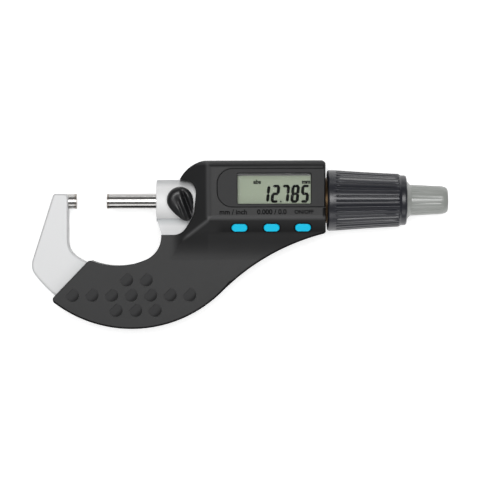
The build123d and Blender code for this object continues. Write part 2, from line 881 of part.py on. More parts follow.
lcd_centre = ((lcd_x[0] + lcd_x[1]) / 2, (lcd_y[0] + lcd_y[1]) / 2)
lcd_size = (lcd_x[1] - lcd_x[0], lcd_y[1] - lcd_y[0])

with BuildPart() as front_cover:
    add(front_form(0))
    fillet(nearest_edge(front_cover, throat_rim_point), rim_r)
    add(front_form(wall), mode=Mode.SUBTRACT)
    with BuildSketch(Plane.XY):
        with Locations(*cover_screw_places):
            Circle(screw_boss_r)
    extrude(amount=grip_z - 1)
    for place, boss_top in [(cover_screw_places[0], roof_z + 0.3), (cover_screw_places[1], outer_boss_top)]:
        with BuildSketch(Plane.XY):
            with Locations(place):
                Circle(screw_boss_r)
        extrude(amount=boss_top)
    add(cut_for_frame(1), mode=Mode.SUBTRACT)
    with BuildSketch(Plane.XY):
        with Locations(*cover_screw_places[3:]):
            Circle(screw_boss_r)
    extrude(amount=grip_z - 1)
    with BuildSketch(Plane.XY):
        with Locations(*cover_screw_places):
            Circle(screw_shank_r + part_gap)
    extrude(amount=screw_hole_depth, mode=Mode.SUBTRACT)
    with BuildSketch(Plane.XY.offset(ledge_z)):
        add(bezel_outline.sketch)
        offset(amount=bezel_gap, kind=Kind.ARC)
    extrude(amount=face_z, mode=Mode.SUBTRACT)
    with BuildSketch(Plane.XY.offset(roof_z - 1)):
        with Locations(lcd_centre):
            Rectangle(lcd_size[0] + 2 * glass_margin + 0.2, lcd_size[1] + 2 * glass_margin + 0.2)
    extrude(amount=3, mode=Mode.SUBTRACT)
    with BuildSketch(Plane.XY.offset(grip_z - 1)):
        with Locations(*[(x, button_y) for x in button_x.values()]):
            SlotOverall(button_length + 2 * button_gap, button_width + 2 * button_gap)
    extrude(amount=8, mode=Mode.SUBTRACT)
    for row, places in scoop_rows:
        for place in places:
            scoop_x = scoop_first[0] + scoop_pitch * place + scoop_shear * row
            scoop_y = scoop_first[1] - scoop_row * row
            tilt = scoop_depth / (1.45 * scoop_r)
            floor = Plane(
                origin=(scoop_x, scoop_y, grip_z - 0.45 * scoop_depth),
                x_dir=(1, 1, 0),
                z_dir=(tilt * 0.707, -tilt * 0.707, 1),
            )
            with BuildSketch(floor):
                Circle(scoop_r)
            extrude(amount=2, mode=Mode.SUBTRACT)

# Display: sunk panel, window, liquid crystal cell and its contact strip
glass_top = ledge_z - 0.05
glass_z = glass_top - 0.8
cell_top = glass_z - 0.05
cell_z = cell_top - 1.7

with BuildPart() as display_bezel:
    with BuildSketch(Plane.XY.offset(ledge_z)):
        add(bezel_outline.sketch)
    extrude(amount=bezel_top - ledge_z)
    with BuildSketch(Plane.XY.offset(ledge_z)):
        with Locations(lcd_centre):
            RectangleRounded(lcd_size[0], lcd_size[1], 0.5)
    extrude(amount=bezel_top, mode=Mode.SUBTRACT)
    chamfer(display_bezel.faces().sort_by(Axis.Z)[-1].edges(), 0.25)
    add(front_form(0), mode=Mode.INTERSECT)

with BuildPart() as display_glass:
    with BuildSketch(Plane.XY.offset(glass_z)):
        with Locations(lcd_centre):
            Rectangle(lcd_size[0] + 2 * glass_margin, lcd_size[1] + 2 * glass_margin)
    extrude(amount=glass_top - glass_z)

with BuildPart() as lcd_cell:
    with BuildSketch(Plane.XY.offset(cell_z)):
        with Locations(lcd_centre):
            Rectangle(lcd_size[0] + 3.4, lcd_size[1] + 3.1)
    extrude(amount=cell_top - cell_z)

with BuildPart() as contact_strip:
    with BuildSketch(Plane.XY.offset(board_top)):
        with Locations((lcd_centre[0], lcd_y[1] + 0.55)):
            Rectangle(lcd_size[0] - 2, 1.6)
    extrude(amount=cell_z - board_top)

board_left = 58.8
board_right = 102.6
board_high = 14.3
board_low = -14.8

with BuildPart() as circuit_board:
    with BuildSketch(Plane.XY.offset(board_bottom)):
        with BuildLine():
            Polyline(
                (board_left, board_high),
                (board_right, board_high),
                (board_right, -12.0),
                (95.0, -14.0),
                (88.0, board_low),
                (board_left, board_low),
                close=True,
            )
        make_face()
        with Locations((81.2, 0)):
            Rectangle(9.6, 14.0, mode=Mode.SUBTRACT)
        with Locations(((88.0 + board_right) / 2 + 1, 0)):
            Rectangle(board_right - 88.0 + 2, 13.4, mode=Mode.SUBTRACT)
        with Locations(*cover_screw_places[:3]):
            Circle(screw_boss_r + 0.4, mode=Mode.SUBTRACT)
    extrude(amount=board_top - board_bottom)

# Buttons stand a little above the lower slope, each over a domed switch
button_bottom = 6.5
button_proud = 0.5
wing_top = 7.3
wing_reach = 0.9
button_slope_z = face_z - face_slope * (slope_low_top - button_y)
dome_height = button_bottom - board_top
dome_base_r = 2.2
dome_sphere_r = (dome_base_r**2 + dome_height**2) / (2 * dome_height)
buttons = {}
domes = {}

for side, centre_x in button_x.items():
    with BuildPart() as button:
        with BuildSketch(Plane.XY.offset(button_bottom)):
            with Locations((centre_x, button_y)):
                SlotOverall(button_length, button_width)
        extrude(amount=8)
        slope_plane = Plane(
            origin=(centre_x, button_y, button_slope_z + button_proud),
            x_dir=(1, 0, 0),
            z_dir=(0, -face_slope, 1),
        )
        with BuildSketch(slope_plane):
            Rectangle(20, 20)
        extrude(amount=20, mode=Mode.SUBTRACT)
        fillet(button.faces().sort_by(Axis.Z)[-1].edges(), 0.4)
        with BuildSketch(Plane.XY.offset(button_bottom)):
            with Locations((centre_x, button_y)):
                Rectangle(button_length + 2 * wing_reach, 2.0)
        extrude(amount=wing_top - button_bottom)
    buttons[side] = button.part
    with BuildPart() as dome:
        with Locations((centre_x, button_y, button_bottom - dome_sphere_r)):
            Sphere(dome_sphere_r)
        with Locations((centre_x, button_y, board_top)):
            Box(8, 8, 4, align=(Align.CENTER, Align.CENTER, Align.MIN), mode=Mode.INTERSECT)
    domes[side] = dome.part

# Housing, rear half, with the battery compartment. The cap's lugs turn under the rim of the seat.
head_bottom = -6.6
head_top = -5.0
screw_head_r = 1.9
screw_tip = 4.0
cross_length = 2.2
cross_width = 0.6
coin_slot = (13.0, 1.8)
cap_r = 11.5
cap_outer_z = back_z + 0.2
cap_inner_z = cap_outer_z + 0.9
collar_r = 10.5
collar_end = -10.85
lug_r = 11.55
lug_z = -11.35
room_r = collar_r + 0.08
room_top = -7.2
seat_z = -11.9
channel_z = -11.4
channel_top = -10.7
lug_count = 3
lug_half_angle = 16
entry_half_angle = 18
entry_turn = 60


def sector(radius, middle, half_angle):
    """A slice of a disc round the battery's centre, drawn in the sketch being made."""
    corners = [
        on_circle(battery_centre, 1.3 * radius, middle + turn * half_angle)
        for turn in (-1, 0, 1)
    ]
    with BuildSketch() as slice_shape:
        with Locations(battery_centre):
            Circle(radius)
        with BuildSketch(mode=Mode.INTERSECT):
            with BuildLine():
                Polyline(battery_centre, *corners, close=True)
            make_face()
    return slice_shape.sketch


with BuildPart() as rear_cover:
    add(rear_form(0))
    add(rear_form(wall), mode=Mode.SUBTRACT)
    with BuildSketch(Plane.XY):
        with Locations(*cover_screw_places):
            Circle(screw_boss_r + 0.8)
    extrude(amount=back_z)
    add(rear_form(0), mode=Mode.INTERSECT)
    with BuildSketch(Plane.XY.offset(back_z + wall - 0.2)):
        with Locations(battery_centre):
            Circle(12.9)
    extrude(amount=1.8)
    with BuildSketch(Plane.XY.offset(back_z + wall)):
        with Locations(battery_centre):
            Circle(11.6)
    extrude(amount=room_top + 0.8 - back_z - wall)
    add(cut_for_frame(-1), mode=Mode.SUBTRACT)
    with BuildSketch(Plane.XY):
        with Locations(*cover_screw_places[3:]):
            Circle(screw_boss_r)
    extrude(amount=-bow_half - 1)
    with BuildSketch(Plane.XY):
        with Locations(*cover_screw_places):
            Circle(screw_shank_r + 0.15)
    extrude(amount=back_z, mode=Mode.SUBTRACT)
    with BuildSketch(Plane.XY.offset(head_top)):
        with Locations(*cover_screw_places):
            Circle(screw_head_r + 0.3)
    extrude(amount=back_z, mode=Mode.SUBTRACT)
    with BuildSketch(Plane.XY.offset(back_z)):
        with Locations(battery_centre):
            Circle(cap_r + 0.2)
    extrude(amount=seat_z - back_z, mode=Mode.SUBTRACT)
    with BuildSketch(Plane.XY.offset(back_z)):
        with Locations(battery_centre):
            Circle(room_r)
    extrude(amount=room_top - back_z, mode=Mode.SUBTRACT)
    with BuildSketch(Plane.XY.offset(channel_z)):
        for number in range(lug_count):
            add(sector(lug_r + 0.15, 360 / lug_count * number + entry_turn / 2,
                       entry_turn / 2 + lug_half_angle + 2))
    extrude(amount=channel_top - channel_z, mode=Mode.SUBTRACT)
    with BuildSketch(Plane.XY.offset(seat_z - 0.1)):
        for number in range(lug_count):
            add(sector(lug_r + 0.15, 360 / lug_count * number + entry_turn, entry_half_angle))
    extrude(amount=channel_z - seat_z + 0.2, mode=Mode.SUBTRACT)
    with BuildSketch(Plane.XY.offset(room_top - 0.1)):
        with Locations((battery_centre[0], battery_centre[1] + 10.25)):
            Rectangle(3.6, 0.9)
        with Locations((battery_centre[0] - 5.0, battery_centre[1])):
            Rectangle(1.0, 4.6)
    extrude(amount=2, mode=Mode.SUBTRACT)

with BuildPart() as battery_cap:
    with BuildSketch(Plane.XY.offset(cap_outer_z)):
        with Locations(battery_centre):
            Circle(cap_r)
    extrude(amount=cap_inner_z - cap_outer_z)
    with BuildSketch(Plane.XY.offset(cap_inner_z)):
        with Locations(battery_centre):
            Circle(collar_r)
    extrude(amount=collar_end - cap_inner_z)
    with BuildSketch(Plane.XY.offset(lug_z)):
        for number in range(lug_count):
            add(sector(lug_r, 360 / lug_count * number, lug_half_angle))
    extrude(amount=collar_end - lug_z)
    with BuildSketch(Plane.XY.offset(cap_outer_z)):
        with Locations(battery_centre):
            SlotOverall(*coin_slot)
    extrude(amount=0.7, mode=Mode.SUBTRACT)

with BuildPart() as cap_seal:
    with BuildSketch(Plane.XY.offset(cap_inner_z + 0.03)):
        with Locations(battery_centre):
            Circle(11.4)
            Circle(collar_r + 0.1, mode=Mode.SUBTRACT)
    extrude(amount=seat_z - cap_inner_z - 0.04)

cell_r = 10.0
cell_thickness = 3.2
cell_bottom = -10.8
leaf = 0.3
minus_leaf_z = -7.55
plus_leaf_z = -10.6

with BuildPart() as battery:
    with BuildSketch(Plane.XY.offset(cell_bottom)):
        with Locations(battery_centre):
            Circle(cell_r)
    extrude(amount=cell_thickness)
    chamfer(battery.edges().sort_by(Axis.Z)[0], 0.3)
    fillet(battery.edges().sort_by(Axis.Z)[-1], 0.4)

with BuildPart() as battery_contact_minus:
    with BuildSketch(Plane.XY.offset(minus_leaf_z)):
        with Locations((battery_centre[0] - 1.0, battery_centre[1])):
            Rectangle(8.6, 4.0)
    extrude(amount=leaf)
    with BuildSketch(Plane.XY.offset(minus_leaf_z)):
        with Locations((battery_centre[0] - 5.15, battery_centre[1])):
            Rectangle(leaf, 4.0)
    extrude(amount=3.0)

with BuildPart() as battery_contact_plus:
    with BuildSketch(Plane.XY.offset(plus_leaf_z)):
        with Locations((battery_centre[0], battery_centre[1] + cell_r + 0.2)):
            Rectangle(3.0, leaf)
    extrude(amount=6.0)

with BuildPart() as cover_screws:
    with BuildSketch(Plane.XY.offset(head_bottom)):
        with Locations(*cover_screw_places):
            Circle(screw_head_r)
    extrude(amount=head_top - head_bottom)
    with BuildSketch(Plane.XY.offset(head_top)):
        with Locations(*cover_screw_places):
            Circle(screw_shank_r)
    extrude(amount=screw_tip - head_top)
    with BuildSketch(Plane.XY.offset(head_bottom)):
        with Locations(*cover_screw_places):
            Rectangle(cross_length, cross_width)
            Rectangle(cross_width, cross_length)
    extrude(amount=0.8, mode=Mode.SUBTRACT)

for name, piece in [
    ("frame", frame.part),
    ("anvil", anvil.part),
    ("anvil_tip", anvil_tip.part),
    ("spindle", spindle.part),
    ("spindle_tip", spindle_tip.part),
    ("spindle_bush", spindle_bush.part),
    ("spindle_seal", spindle_seal),
    ("clamp_pad", clamp_pad.part),
    ("lock_shaft", lock_shaft.part),
    ("lock_lever", lock_lever.part),
    ("spindle_nut", spindle_nut.part),
    ("adjusting_ring", adjusting_ring.part),
    ("retaining_ring", retaining_ring.part),
    ("thimble", thimble.part),
    ("thimble_core", thimble_core.part),
    ("drive_bush", drive_bush.part),
    ("ratchet_stub", ratchet_stub.part),
    ("clutch_washer", clutch_washer),
    ("knob_retainer", knob_retainer),
    ("ratchet_knob", ratchet_knob.part),
    ("knob_cap", knob_cap.part),
    ("clutch_spring", clutch_spring.part),
    ("encoder_stator", encoder_stator.part),
    ("stator_bracket", stator_bracket.part),
    ("encoder_rotor", encoder_rotor),
    ("hub_clip", hub_clip),
    ("rotor_hub", rotor_hub.part),
    ("bracket_screws", bracket_screws.part),
    ("front_cover", front_cover.part),
    ("rear_cover", rear_cover.part),
    ("cover_screws", cover_screws.part),
    ("display_bezel", display_bezel.part),
    ("display_glass", display_glass.part),
    ("lcd_cell", lcd_cell.part),
    ("contact_strip", contact_strip.part),
    ("circuit_board", circuit_board.part),
    ("button_left", buttons["left"]),
    ("button_middle", buttons["middle"]),
    ("button_right", buttons["right"]),
    ("key_dome_left", domes["left"]),
    ("key_dome_middle", domes["middle"]),
    ("key_dome_right", domes["right"]),
    ("battery", battery.part),
    ("battery_cap", battery_cap.part),
    ("cap_seal", cap_seal.part),
    ("battery_contact_minus", battery_contact_minus.part),
    ("battery_contact_plus", battery_contact_plus.part),
]:
    save(piece, name)
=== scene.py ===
import json
from math import atan2, cos, exp, hypot, pi, sin, sqrt

import bmesh
import bpy
from mathutils import Matrix, Vector


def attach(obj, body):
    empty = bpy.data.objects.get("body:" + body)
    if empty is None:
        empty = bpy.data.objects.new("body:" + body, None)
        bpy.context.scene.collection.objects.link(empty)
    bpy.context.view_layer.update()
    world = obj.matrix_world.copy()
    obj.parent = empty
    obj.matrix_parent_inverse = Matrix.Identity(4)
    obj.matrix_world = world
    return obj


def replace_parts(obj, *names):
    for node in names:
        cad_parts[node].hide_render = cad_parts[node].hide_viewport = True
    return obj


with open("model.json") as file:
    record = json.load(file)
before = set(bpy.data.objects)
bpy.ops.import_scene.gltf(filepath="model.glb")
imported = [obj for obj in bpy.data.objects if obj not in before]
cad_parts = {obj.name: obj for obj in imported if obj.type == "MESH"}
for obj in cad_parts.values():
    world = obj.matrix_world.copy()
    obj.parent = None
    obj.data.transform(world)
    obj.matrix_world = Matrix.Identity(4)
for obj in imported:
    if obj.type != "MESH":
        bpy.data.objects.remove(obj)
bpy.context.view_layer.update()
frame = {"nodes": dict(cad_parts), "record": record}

# Lengths are in metres, except where a comment says millimetres. x runs along the spindle from the
# anvil's face, y up across the display, and z out of it.
MM = 0.001


# Surfaces

# Numbers of the sockets that blend two colours
MIX_FACTOR, MIX_FIRST, MIX_SECOND, MIX_RESULT = 0, 6, 7, 2
# Over how much a mask rises, where nothing else is asked
SOFT = 0.0008


class Wire:
    """A value or colour that changes over a surface, and works in sums."""

    def __init__(self, finish, socket):
        self.finish = finish
        self.socket = socket

    def __add__(self, other):
        return self.finish.maths("ADD", self, other)

    def __sub__(self, other):
        return self.finish.maths("SUBTRACT", self, other)

    def __rsub__(self, other):
        return self.finish.maths("SUBTRACT", other, self)

    def __mul__(self, other):
        return self.finish.maths("MULTIPLY", self, other)

    __radd__ = __add__
    __rmul__ = __mul__


def opaque(tone):
    """A tone with its fourth number. Anything else stays as it is."""
    return (*tone, 1.0) if isinstance(tone, tuple) else tone


def lighter(tone, factor):
    return tuple(factor * part for part in tone)


class Finish:
    """The finish of one surface: its material and its shader."""

    def __init__(self, name, **constants):
        self.material = bpy.data.materials.new(name)
        self.material.use_nodes = True
        self.tree = self.material.node_tree
        self.tree.nodes.clear()
        self.shader = self.tree.nodes.new("ShaderNodeBsdfPrincipled")
        surface = self.tree.nodes.new("ShaderNodeOutputMaterial").inputs["Surface"]
        self.tree.links.new(self.shader.outputs[0], surface)
        for socket, value in constants.items():
            self.feed(socket.replace("_", " "), value)

    def fill(self, socket, value):
        """Links a socket to a wire, or sets it to a value."""
        if isinstance(value, Wire):
            self.tree.links.new(value.socket, socket)
        else:
            socket.default_value = value

    def feed(self, socket, value):
        """Fills one of the shader's own sockets."""
        self.fill(self.shader.inputs[socket], opaque(value))

    def node(self, kind, settings=None, sockets=None, output=0):
        """Adds a node: its settings first, then its sockets. Gives one output or several."""
        made = self.tree.nodes.new(kind)
        for setting, value in (settings or {}).items():
            if setting == "stops":
                ramp = made.color_ramp
                while len(ramp.elements) < len(value):
                    ramp.elements.new(0.5)
                for element, (place, tone) in zip(ramp.elements, value):
                    element.position = place
                    element.color = (tone, tone, tone, 1.0)
            else:
                setattr(made, setting, value)
        for socket, value in (sockets or {}).items():
            self.fill(made.inputs[socket], value)
        if isinstance(output, tuple):
            return [Wire(self, made.outputs[each]) for each in output]
        return Wire(self, made.outputs[output])

    def maths(self, operation, *values):
        return self.node("ShaderNodeMath", {"operation": operation}, dict(enumerate(values)))

    def axes(self):
        """Object coordinates as separate x, y and z."""
        where = self.node("ShaderNodeTexCoord", output="Object")
        return self.node("ShaderNodeSeparateXYZ", sockets={"Vector": where}, output=(0, 1, 2))

    def place(self, scale=(1, 1, 1), turn=(0, 0, 0)):
        """Object coordinates, scaled and turned."""
        where = self.node("ShaderNodeTexCoord", output="Object")
        return self.node(
            "ShaderNodeMapping", {"vector_type": "POINT"},
            {"Vector": where, "Scale": scale, "Rotation": turn},
        )

    def reach(self, where, centre):
        """Distance from a point."""
        return self.node(
            "ShaderNodeVectorMath", {"operation": "DISTANCE"}, {0: where, 1: centre}, output="Value"
        )

    def noise(self, where, scale, detail=2.0, roughness=0.5):
        return self.node(
            "ShaderNodeTexNoise", {"noise_dimensions": "3D"},
            {"Vector": where, "Scale": scale, "Detail": detail, "Roughness": roughness},
        )

    def ramp(self, value, *stops):
        return self.node("ShaderNodeValToRGB", {"stops": stops}, {"Fac": value})

    def blend(self, mask, first, second):
        """A colour between two colours."""
        return self.node(
            "ShaderNodeMix", {"data_type": "RGBA"},
            {MIX_FACTOR: mask, MIX_FIRST: opaque(first), MIX_SECOND: opaque(second)},
            output=MIX_RESULT,
        )

    def bump(self, height, strength, depth):
        return self.node(
            "ShaderNodeBump", sockets={"Height": height, "Strength": strength, "Distance": depth}
        )

    def roughen(self, middle, spread, grain):
        """Roughness that a grain varies round its middle."""
        self.feed("Roughness", middle - spread / 2 + spread * grain)

    def above(self, value, limit, softness=SOFT):
        """A mask that rises from 0 to 1 over its softness, halfway at the limit."""
        return self.ramp((value - limit) * (0.5 / softness) + 0.5, (0.25, 0.0), (0.75, 1.0))

    def below(self, value, limit, softness=SOFT):
        """A mask that falls from 1 to 0 over its softness, halfway at the limit."""
        return self.above(limit - value, 0.0, softness)

    def band(self, value, middle, half_width):
        """A mask that is 1 at the middle and falls to 0 at the half width."""
        shifted = (value - middle) * (0.25 / half_width) + 0.5
        return self.ramp(shifted, (0.25, 0.0), (0.5, 1.0), (0.75, 0.0))


# Moulded plastic: its patches and pits per metre, how much the pits vary the gloss, how deep they are
PATCHES = 90.0
PITS = 2600.0
PIT_GLOSS = 0.08
PIT_STRENGTH = 0.5
PIT_DEPTH = 0.00002
POLISHED_DEPTH = 0.000004


def mould_marks(finish, dark, light, grain=PITS):
    """Soft patches of two tones, and the pits that a spark-textured mould leaves."""
    where = finish.place()
    patches = finish.ramp(finish.noise(where, PATCHES, detail=3.0), (0.3, 0.0), (0.7, 1.0))
    pits = finish.noise(where, grain, detail=3.0, roughness=0.6)
    return finish.blend(patches, dark, light), pits


def moulded(name, dark, light, roughness, grain=PITS, depth=PIT_DEPTH, specular=0.3):
    """Plastic out of a spark-textured mould."""
    finish = Finish(name, Specular_IOR_Level=specular)
    tones, pits = mould_marks(finish, dark, light, grain)
    finish.feed("Base Color", tones)
    finish.roughen(roughness, PIT_GLOSS, pits)
    finish.feed("Normal", finish.bump(pits, PIT_STRENGTH, depth))
    return finish.material


# Housing shells. The front's slopes lie above FRONT_Z, and the parting line is at z 0.
COVER_SPECULAR = 0.33
COVER_ROUGHNESS = 0.45
FRONT_Z = 0.004
SEAM_HALF = 0.00014
SEAM_TONE = (0.001, 0.001, 0.001)

# Raised display block: the lower, left and upper edge of its face, and the ridge between the two
# slopes beside it, which runs down to the left from its head. Each gets a painted highlight, a paler
# tone that stands in for the light its rounding catches. Then how bright each highlight is painted.
BLOCK_Z = 0.0086
EDGE_LOW = -0.0074
EDGE_LEFT = 0.0557
EDGE_TOP = 0.0150
EDGE_HALF = 0.0012
EDGE_TOP_SOFT = 0.0006
RIDGE_HEAD = (0.0562, -0.0080)
RIDGE_RUN = 0.794
RIDGE_RISE = 0.607
RIDGE_HALF = 0.0011
HIGHLIGHT_LOW = 0.9
HIGHLIGHT_LEFT = 0.45
HIGHLIGHT_RIDGE = 0.8
HIGHLIGHT_TOP = 0.32


# Painted highlights along the block's edges and its ridge
def painted_edge_highlights(finish, x, y, z):
    low = finish.band(y, EDGE_LOW, EDGE_HALF) * finish.above(x, EDGE_LEFT)
    left = finish.band(x, EDGE_LEFT, EDGE_HALF) * finish.above(y, EDGE_LOW)
    aside = (x - RIDGE_HEAD[0]) * RIDGE_RISE - (y - RIDGE_HEAD[1]) * RIDGE_RUN
    ridge = finish.band(aside, 0.0, RIDGE_HALF) * finish.below(x, RIDGE_HEAD[0])
    top = finish.above(y, EDGE_TOP, EDGE_TOP_SOFT)
    edge_highlight = HIGHLIGHT_LOW * low + HIGHLIGHT_LEFT * left + HIGHLIGHT_RIDGE * ridge + HIGHLIGHT_TOP * top
    return edge_highlight * finish.above(z, BLOCK_Z)


# Foot of the slope under the buttons, a little paler: a painted light that stands in for the light it
# catches
FOOT_LOW = -0.0230
FOOT_WIDTH = 0.0093
FOOT_COURSE = ((0.0, 0.0), (0.43, 0.8), (0.9, 1.0), (1.0, 0.0))
FOOT_LIGHT_SHARE = 0.07


def painted_foot_light(finish, x, y, z):
    foot = finish.ramp((y - FOOT_LOW) * (1 / FOOT_WIDTH), *FOOT_COURSE)
    return foot * finish.above(x, EDGE_LEFT) * finish.above(z, FRONT_Z)


# Round scoops in the grip: the heights that their floors lie between, and how far up they reach.
# Their floors get a painted light, a paler tone that stands in for the light they catch.
SCOOP_DEEP = 0.0065
SCOOP_DEEP_SOFT = 0.0003
SCOOP_RIM = 0.00716
SCOOP_RIM_SOFT = 0.00004
SCOOP_TOP = -0.027
SCOOP_LIGHT_TONE = (0.034, 0.034, 0.035)


def scoop_floor_light(finish, y, z):
    floors = finish.above(z, SCOOP_DEEP, SCOOP_DEEP_SOFT) * finish.below(z, SCOOP_RIM, SCOOP_RIM_SOFT)
    return floors * finish.below(y, SCOOP_TOP)


# Rolled rim of the grip: one arc round the bow, and one that sweeps up to the thimble. Along it a
# painted shade darkens the edge where it rolls away, and the surface is made matter.
RIM = 0.0007
RIM_SOFT = 0.0001
RIM_Z = 0.0050
RIM_SHADE_SHARE = 0.8
RIM_MATT = 0.45
GRIP_CENTRE = (0.0235, 0.0, 0.0)
GRIP_R = 0.0541
GRIP_END = -0.034
SWOOP_CENTRE = (0.12736, -0.10459, 0.0)
SWOOP_R = 0.0933


def rolled_rim(finish, y, z):
    level = finish.place(scale=(1, 1, 0))
    grip = finish.above(finish.reach(level, GRIP_CENTRE), GRIP_R - RIM, RIM_SOFT)
    swoop = finish.below(finish.reach(level, SWOOP_CENTRE), SWOOP_R + RIM, RIM_SOFT)
    return (grip * finish.below(y, GRIP_END) + swoop) * finish.above(z, RIM_Z)


# Painted shade round the three buttons, in hollows shaped as long holes with round ends, and in a
# band along their row that joins them. The reach from a button's middle line and its softness are
# squared lengths.
BUTTONS_X = (0.0690, 0.0825, 0.0957)
BUTTON_Y = -0.01155
BUTTON_STRAIGHT = 0.0017
POCKET_REACH = 4.7e-6
POCKET_SOFT = 1.8e-6
HOLLOW_SHADE = 0.7
POCKET_SHARE = 0.85
POCKET_MATT = 0.4
PAINTED_SHADE_TONE = (0.0012, 0.0012, 0.0014)
SHADE_BAND_LOW = -0.0137
SHADE_BAND_WIDTH = 0.0050
SHADE_BAND_COURSE = ((0.0, 0.0), (0.12, 1.0), (0.35, 0.8), (1.0, 0.0))
SHADE_BAND_START = 0.0605
SHADE_BAND_SOFT = 0.003
SHADE_BAND_DEPTH = 0.8


# Painted shade round the buttons and in a band along their row
def button_shade(finish, x, y, z):
    left, middle, right = (finish.maths("ABSOLUTE", x - button) for button in BUTTONS_X)
    nearest = finish.maths("MINIMUM", finish.maths("MINIMUM", left, middle), right)
    along = finish.maths("MAXIMUM", nearest - BUTTON_STRAIGHT, 0.0)
    down = y - BUTTON_Y
    hollow = finish.below(along * along + down * down, POCKET_REACH, POCKET_SOFT)
    shade_band = finish.ramp((y - SHADE_BAND_LOW) * (1 / SHADE_BAND_WIDTH), *SHADE_BAND_COURSE)
    shade_band = SHADE_BAND_DEPTH * shade_band * finish.above(x, SHADE_BAND_START, SHADE_BAND_SOFT)
    return (HOLLOW_SHADE * hollow + shade_band) * finish.above(z, FRONT_Z)


def housing(name, dark, light, edge_highlight):
    """Moulded charcoal with painted highlights on the block's edges, painted light on the slope's foot and
    the scoop floors, painted shade round the buttons and along the rim, and a dark parting line.
    """
    finish = Finish(name, Specular_IOR_Level=COVER_SPECULAR)
    tones, pits = mould_marks(finish, dark, light)
    x, y, z = finish.axes()
    # Painted highlights and painted light first, then painted shade, then the dark parting line
    edges = painted_edge_highlights(finish, x, y, z) + FOOT_LIGHT_SHARE * painted_foot_light(finish, x, y, z)
    tones = finish.blend(edges, tones, edge_highlight)
    tones = finish.blend(scoop_floor_light(finish, y, z), tones, SCOOP_LIGHT_TONE)
    rim = rolled_rim(finish, y, z)
    shaded = button_shade(finish, x, y, z)
    tones = finish.blend(POCKET_SHARE * shaded + RIM_SHADE_SHARE * rim, tones, PAINTED_SHADE_TONE)
    finish.feed("Base Color", finish.blend(finish.band(z, 0.0, SEAM_HALF), tones, SEAM_TONE))
    roughness = COVER_ROUGHNESS - PIT_GLOSS / 2 + PIT_GLOSS * pits
    finish.feed("Roughness", roughness + RIM_MATT * rim + POCKET_MATT * shaded)
    finish.feed("Normal", finish.bump(pits, PIT_STRENGTH, PIT_DEPTH))
    return finish.material


# Metals: how much their grain varies the gloss
METAL_GLOSS = 0.1


def turned(name, tone, shade, roughness):
    """Metal turned or ground round the X axis, with its fine rings."""
    finish = Finish(name, Metallic=1.0)
    rings = finish.noise(finish.place(scale=(9000.0, 60.0, 60.0)), scale=1.0)
    wear = finish.noise(finish.place(), scale=320.0, detail=4.0)
    finish.feed("Base Color", finish.blend(wear, tone, shade))
    finish.roughen(roughness, METAL_GLOSS, rings)
    finish.feed("Normal", finish.bump(rings, strength=0.35, depth=0.000004))
    return finish.material


def pressed(name, tone, shade, roughness):
    """Sheet or pressed metal with a fine even grain."""
    finish = Finish(name, Metallic=1.0)
    grain = finish.noise(finish.place(scale=(1.0, 14.0, 1.0)), scale=900.0, detail=3.0)
    finish.feed("Base Color", finish.blend(grain, tone, shade))
    finish.roughen(roughness, METAL_GLOSS, grain)
    finish.feed("Normal", finish.bump(grain, strength=0.2, depth=0.000005))
    return finish.material


# Bow and hub. The hub starts at HUB_START and is round down to HUB_LOW, where painted shade darkens a
# crease in the bow under it. The hub has a lighter tone than the arm, a painted light, and above
# HUB_SHOULDER, where it turns away from the light, a painted shade.
ARM_TONES = ((0.70, 0.705, 0.71), (0.76, 0.765, 0.77))
LIT_HUB_TONES = ((0.95, 0.95, 0.95), (0.98, 0.98, 0.98))
HUB_START = 0.0335
HUB_LOW = -0.00755
HUB_LOW_SOFT = 0.0003
HUB_SHOULDER = 0.0072
SHOULDER_SOFT = 0.0028
SHOULDER_SHARE = 0.9
SHOULDER_SHADE_TONE = (0.60, 0.61, 0.62)
CREASE_WIDTH = 0.0032
CREASE_COURSE = ((0.0, 0.0), (0.04, 1.0), (1.0, 0.0))
CREASE_Z = 0.003
CREASE_SHADE_TONE = (0.37, 0.39, 0.40)


def lacquered():
    """Silver lacquer with fine flakes and a faint ripple, thinner and more metallic on the hub, which is
    painted lighter, with painted shade on its shoulder and in the crease under it.
    """
    finish = Finish("silver_lacquer", Coat_Roughness=0.25)
    where = finish.place()
    flakes = finish.noise(where, scale=5200.0, roughness=0.7)
    ripple = finish.noise(where, scale=260.0, detail=3.0)
    x, y, z = finish.axes()
    # Painted shade in the crease under the hub and on its shoulder, and the hub painted lighter than the
    # arm
    crease = finish.ramp((HUB_LOW - y) * (1 / CREASE_WIDTH), *CREASE_COURSE)
    crease = crease * finish.above(x, HUB_START) * finish.above(z, CREASE_Z)
    hub = finish.above(x, HUB_START) * finish.above(y, HUB_LOW, HUB_LOW_SOFT)
    shoulder = SHOULDER_SHARE * finish.above(y, HUB_SHOULDER, SHOULDER_SOFT)
    round_hub = finish.blend(shoulder, finish.blend(flakes, *LIT_HUB_TONES), SHOULDER_SHADE_TONE)
    plain = finish.blend(hub, finish.blend(flakes, *ARM_TONES), round_hub)
    finish.feed("Base Color", finish.blend(crease, plain, CREASE_SHADE_TONE))
    finish.feed("Metallic", 0.08 + 0.37 * hub)
    finish.feed("Roughness", 0.42 + 0.10 * flakes + 0.26 * hub)
    finish.feed("Coat Weight", (0.15 + 0.1 * ripple) * (1.0 - hub))
    finish.feed("Normal", finish.bump(ripple + 0.4 * flakes, strength=0.25, depth=0.00002))
    return finish.material


def rubbery(name, tone):
    finish = Finish(name, Roughness=0.75)
    pits = finish.noise(finish.place(), scale=2200.0, detail=3.0)
    finish.feed("Base Color", finish.blend(pits, tone, lighter(tone, 1.5)))
    finish.feed("Normal", finish.bump(pits, strength=0.4, depth=0.00002))
    return finish.material


